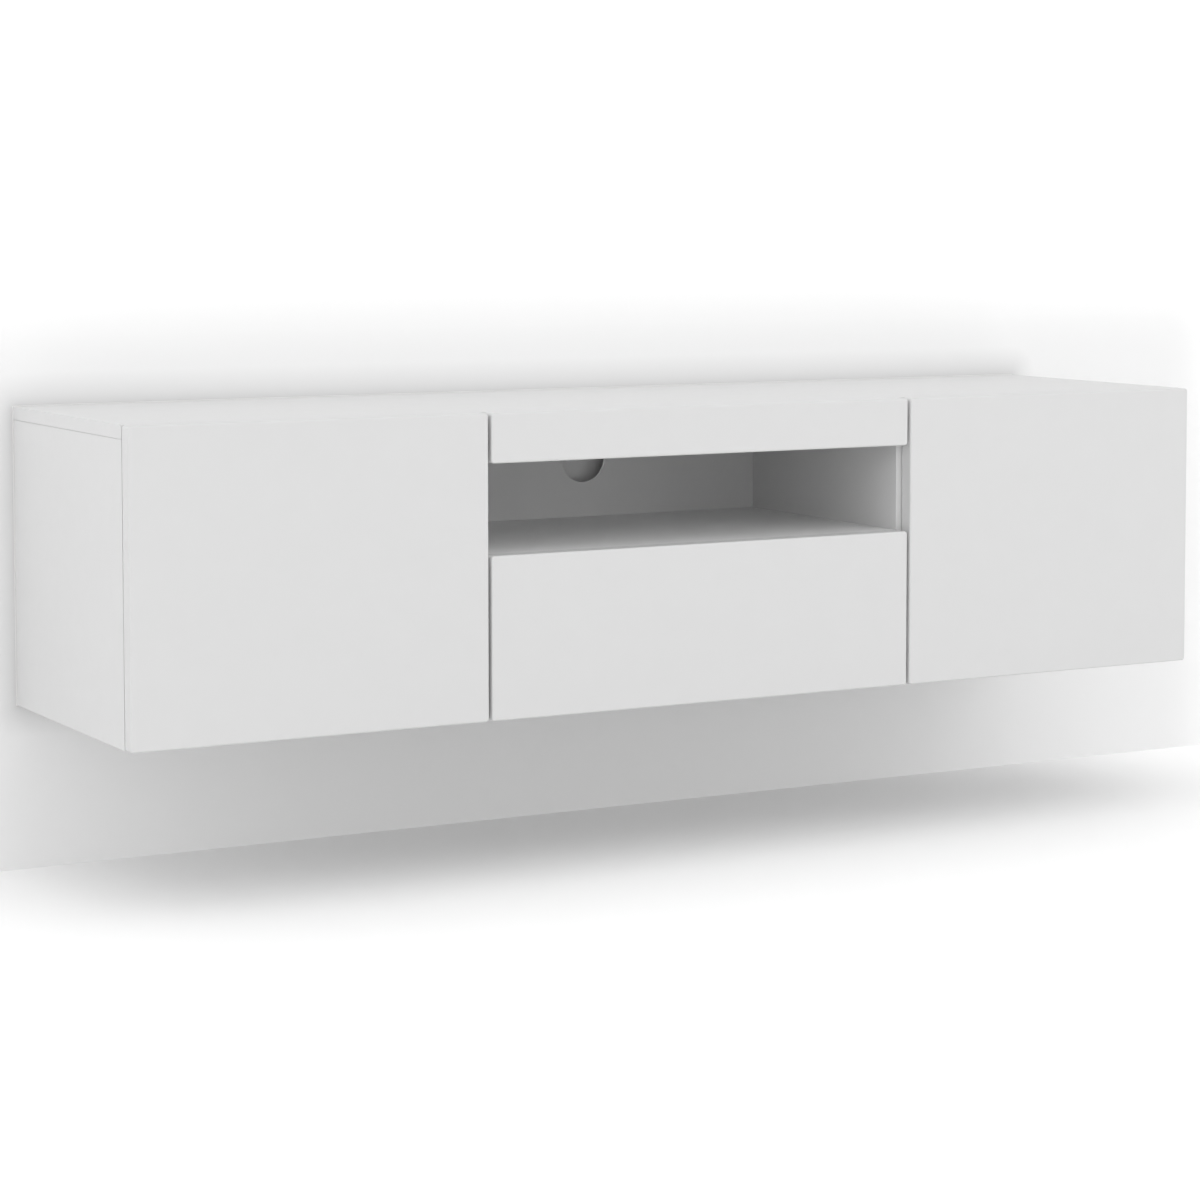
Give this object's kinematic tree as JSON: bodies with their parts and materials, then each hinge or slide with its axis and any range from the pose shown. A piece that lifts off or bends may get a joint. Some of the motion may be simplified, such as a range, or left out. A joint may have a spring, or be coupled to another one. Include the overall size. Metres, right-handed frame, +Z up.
{
  "type": "floating media console",
  "caption": "Wide wall-hung media console in matt white, with handleless side doors, an open centre niche with a cable hole, and a drawer below the niche.",
  "frame": {"origin": "middle of the top board's rear edge, on the plane of the wall", "axes": "+X along the console to the right as seen from the front, +Y from the fronts back into the wall, +Z up"},
  "size_m": [1.5, 0.4, 0.368],
  "materials": {
    "front_lacquer": "matt white lacquer on fibreboard",
    "carcass_board": "matt white melamine on particle board",
    "hardboard": "white-faced hardboard",
    "drawer_board": "white foil on particle board",
    "zinc_steel": "zinc plated",
    "nickel_steel": "nickel plated",
    "grey_plastic": "moulded, matt"
  },
  "bodies": {
    "carcass": {"bottom_board": "carcass_board", "fascia_strip": "front_lacquer", "left_back_panel": "hardboard", "left_cabinet_runner": "zinc_steel", "left_inner_front_shelf_pin": "zinc_steel", "left_inner_rear_shelf_pin": "zinc_steel", "left_lower_hinge_arm": "nickel_steel", "left_lower_hinge_plate": "nickel_steel", "left_outer_front_shelf_pin": "zinc_steel", "left_outer_rear_shelf_pin": "zinc_steel", "left_partition": "carcass_board", "left_push_latch": "grey_plastic", "left_shelf": "carcass_board", "left_side_panel": "carcass_board", "left_upper_hinge_arm": "nickel_steel", "left_upper_hinge_plate": "nickel_steel", "left_wall_hanger": "zinc_steel", "left_wall_plate": "zinc_steel", "niche_back_panel": "carcass_board", "niche_deck": "carcass_board", "right_back_panel": "hardboard", "right_cabinet_runner": "zinc_steel", "right_inner_front_shelf_pin": "zinc_steel", "right_inner_rear_shelf_pin": "zinc_steel", "right_lower_hinge_arm": "nickel_steel", "right_lower_hinge_plate": "nickel_steel", "right_outer_front_shelf_pin": "zinc_steel", "right_outer_rear_shelf_pin": "zinc_steel", "right_partition": "carcass_board", "right_push_latch": "grey_plastic", "right_shelf": "carcass_board", "right_side_panel": "carcass_board", "right_upper_hinge_arm": "nickel_steel", "right_upper_hinge_plate": "nickel_steel", "right_wall_hanger": "zinc_steel", "right_wall_plate": "zinc_steel", "top_board": "carcass_board"},
    "left_door": {"left_door_panel": "front_lacquer", "left_lower_hinge_cup": "nickel_steel", "left_strike_plate": "zinc_steel", "left_upper_hinge_cup": "nickel_steel"},
    "right_door": {"right_door_panel": "front_lacquer", "right_lower_hinge_cup": "nickel_steel", "right_strike_plate": "zinc_steel", "right_upper_hinge_cup": "nickel_steel"},
    "left_hinge_links": {"left_lower_hinge_link": "nickel_steel", "left_upper_hinge_link": "nickel_steel"},
    "right_hinge_links": {"right_lower_hinge_link": "nickel_steel", "right_upper_hinge_link": "nickel_steel"},
    "left_latch_plunger_body": {"left_latch_plunger": "grey_plastic"},
    "right_latch_plunger_body": {"right_latch_plunger": "grey_plastic"},
    "drawer": {"drawer_back": "drawer_board", "drawer_bottom": "drawer_board", "drawer_front": "front_lacquer", "left_drawer_runner": "zinc_steel", "left_drawer_side": "drawer_board", "right_drawer_runner": "zinc_steel", "right_drawer_side": "drawer_board"},
    "middle_runners": {"left_middle_runner": "zinc_steel", "right_middle_runner": "zinc_steel"}
  },
  "joints": [
    {"name": "left_door_swing", "type": "hinge", "parent": "carcass", "child": "left_door", "pos_m": [-0.744, -0.394, -0.176], "axis": [0, 0, -1], "range_deg": [0, 100]},
    {"name": "right_door_swing", "type": "hinge", "parent": "carcass", "child": "right_door", "pos_m": [0.744, -0.394, -0.176], "axis": [0, 0, 1], "range_deg": [0, 100]},
    {"name": "left_link_turn", "type": "hinge", "parent": "carcass", "child": "left_hinge_links", "pos_m": [-0.724, -0.387, -0.176], "axis": [0, 0, 1], "range_deg": [0, 53.7]},
    {"name": "right_link_turn", "type": "hinge", "parent": "carcass", "child": "right_hinge_links", "pos_m": [0.724, -0.387, -0.176], "axis": [0, 0, -1], "range_deg": [0, 53.7]},
    {"name": "left_plunger_travel", "type": "slide", "parent": "carcass", "child": "left_latch_plunger_body", "axis": [0, -1, 0], "range_m": [0, 0.014]},
    {"name": "right_plunger_travel", "type": "slide", "parent": "carcass", "child": "right_latch_plunger_body", "axis": [0, -1, 0], "range_m": [0, 0.014]},
    {"name": "drawer_slide", "type": "slide", "parent": "carcass", "child": "drawer", "axis": [0, -1, 0], "range_m": [0, 0.34]},
    {"name": "middle_runner_slide", "type": "slide", "parent": "carcass", "child": "middle_runners", "axis": [0, -1, 0], "range_m": [0, 0.17]}
  ],
  "couplings": [
    {"joint": "left_link_turn", "follows": "left_door_swing", "ratio": 0.537},
    {"joint": "right_link_turn", "follows": "right_door_swing", "ratio": 0.537},
    {"joint": "left_plunger_travel", "follows": "left_door_swing", "m_per_rad": 0.008},
    {"joint": "right_plunger_travel", "follows": "right_door_swing", "m_per_rad": 0.008},
    {"joint": "middle_runner_slide", "follows": "drawer_slide", "ratio": 0.5}
  ]
}
